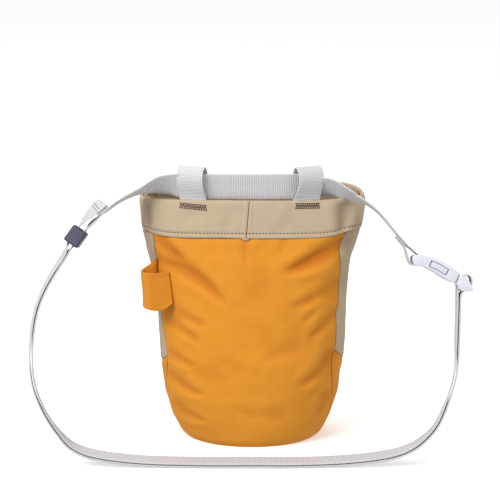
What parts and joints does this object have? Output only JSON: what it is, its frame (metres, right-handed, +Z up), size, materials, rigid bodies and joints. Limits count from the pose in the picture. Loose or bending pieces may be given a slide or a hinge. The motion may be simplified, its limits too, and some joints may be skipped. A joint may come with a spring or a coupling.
{
  "type": "climbing chalk bag",
  "caption": "Soft bucket-shaped chalk bag with a lined D-shaped mouth, a brush loop, two belt loops and a webbing waist belt closed by a side release buckle.",
  "frame": {"origin": "centre of the round base, on the floor", "axes": "+Z up, -Y towards the side with the belt loops, +X to the right seen from that side"},
  "size_m": [0.3013, 0.1589, 0.1981],
  "materials": {
    "orange_fabric": "matte",
    "beige_fabric": "matte",
    "fleece": "matte",
    "grey_webbing": "matte",
    "white_plastic": "satin",
    "slate_plastic": "matte"
  },
  "bodies": {
    "root": {"base_panel": "orange_fabric", "back_panel": "orange_fabric", "front_panel": "beige_fabric", "boot_panel": "orange_fabric", "rim_band": "beige_fabric", "lining": "fleece", "loop_left": "grey_webbing", "loop_right": "grey_webbing", "brush_loop": "orange_fabric", "belt": "grey_webbing", "slider": "slate_plastic", "buckle_socket": "white_plastic", "buckle_plug": "white_plastic"}
  },
  "joints": []
}
